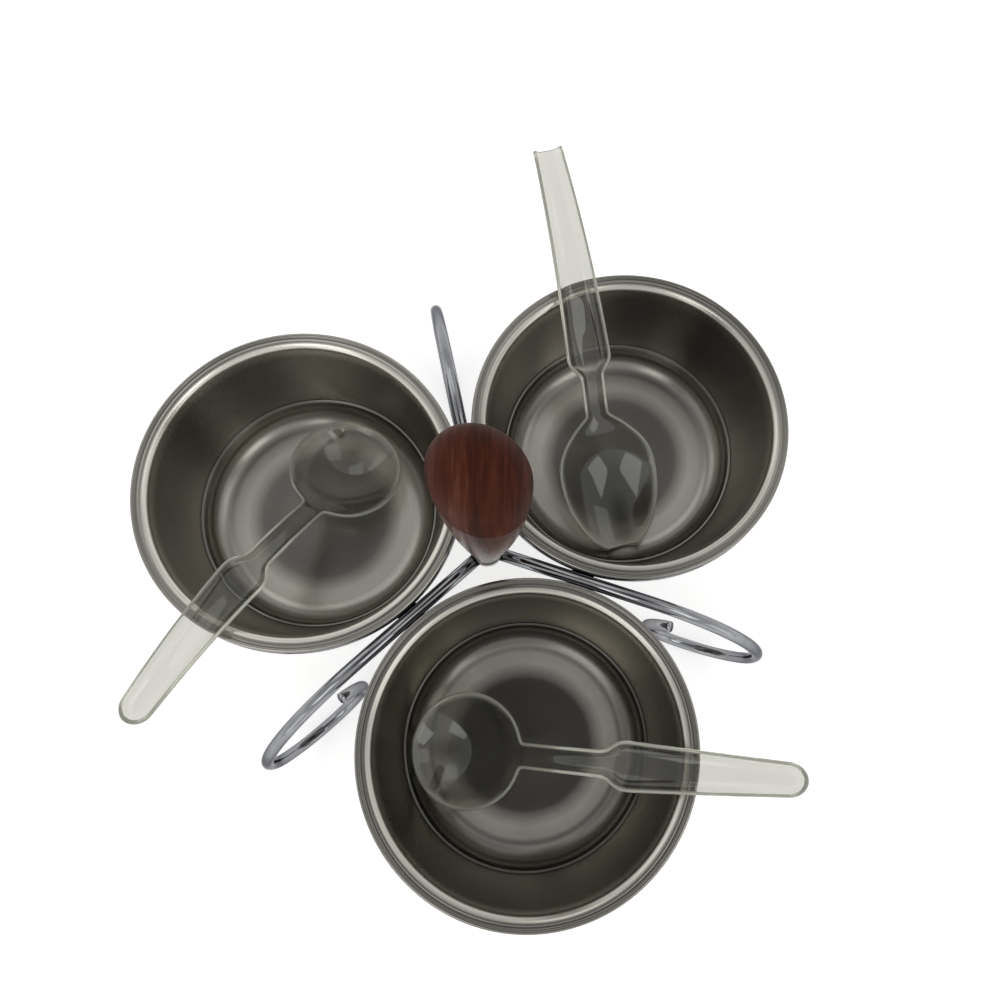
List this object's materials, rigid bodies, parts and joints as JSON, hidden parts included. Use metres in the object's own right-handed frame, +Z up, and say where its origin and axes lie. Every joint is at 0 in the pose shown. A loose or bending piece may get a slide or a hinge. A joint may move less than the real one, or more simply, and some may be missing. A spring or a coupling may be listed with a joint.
{
  "type": "condiment caddy",
  "caption": "Wire stand on scroll feet with a drop-shaped wooden handle, holding loose round steel condiment bowls, each with a clear serving spoon.",
  "frame": {"origin": "on the table, on the axis of the stem and handle, which is the middle of the stand", "axes": "+Z up along the handle; +Y along the back arm, between the left and the right bowl; -Y towards the front bowl"},
  "size_m": [0.2103, 0.2292, 0.1657],
  "materials": {
    "wire": "polished plated wire",
    "weld": "plated weld",
    "stud": "satin",
    "wood": "dark red-brown stain under satin lacquer",
    "bowl_steel": "satin inside, polished rolled edge",
    "clear_plastic": "clear"
  },
  "bodies": {
    "stand": {"arm_back": "wire", "arm_right": "wire", "arm_left": "wire", "ring_left": "wire", "ring_right": "wire", "ring_front": "wire", "ring_welds": "weld", "hub_weld": "weld", "stem": "stud", "handle_washer": "stud", "handle": "wood"},
    "bowl_left": {"bowl_left": "bowl_steel"},
    "bowl_right": {"bowl_right": "bowl_steel"},
    "bowl_front": {"bowl_front": "bowl_steel"},
    "spoon_left": {"spoon_left": "clear_plastic"},
    "spoon_right": {"spoon_right": "clear_plastic"},
    "spoon_front": {"spoon_front": "clear_plastic"}
  },
  "joints": [
    {"name": "bowl_left_lift", "type": "slide", "parent": "stand", "child": "bowl_left", "axis": [0, 0, 1], "range_m": [0, 0.043]},
    {"name": "bowl_right_lift", "type": "slide", "parent": "stand", "child": "bowl_right", "axis": [0, 0, 1], "range_m": [0, 0.043]},
    {"name": "bowl_front_lift", "type": "slide", "parent": "stand", "child": "bowl_front", "axis": [0, 0, 1], "range_m": [0, 0.043]},
    {"name": "spoon_left_lift", "type": "slide", "parent": "bowl_left", "child": "spoon_left", "axis": [0, 0, 1], "range_m": [0, 0.045]},
    {"name": "spoon_right_lift", "type": "slide", "parent": "bowl_right", "child": "spoon_right", "axis": [0, 0, 1], "range_m": [0, 0.045]},
    {"name": "spoon_front_lift", "type": "slide", "parent": "bowl_front", "child": "spoon_front", "axis": [0, 0, 1], "range_m": [0, 0.045]}
  ]
}
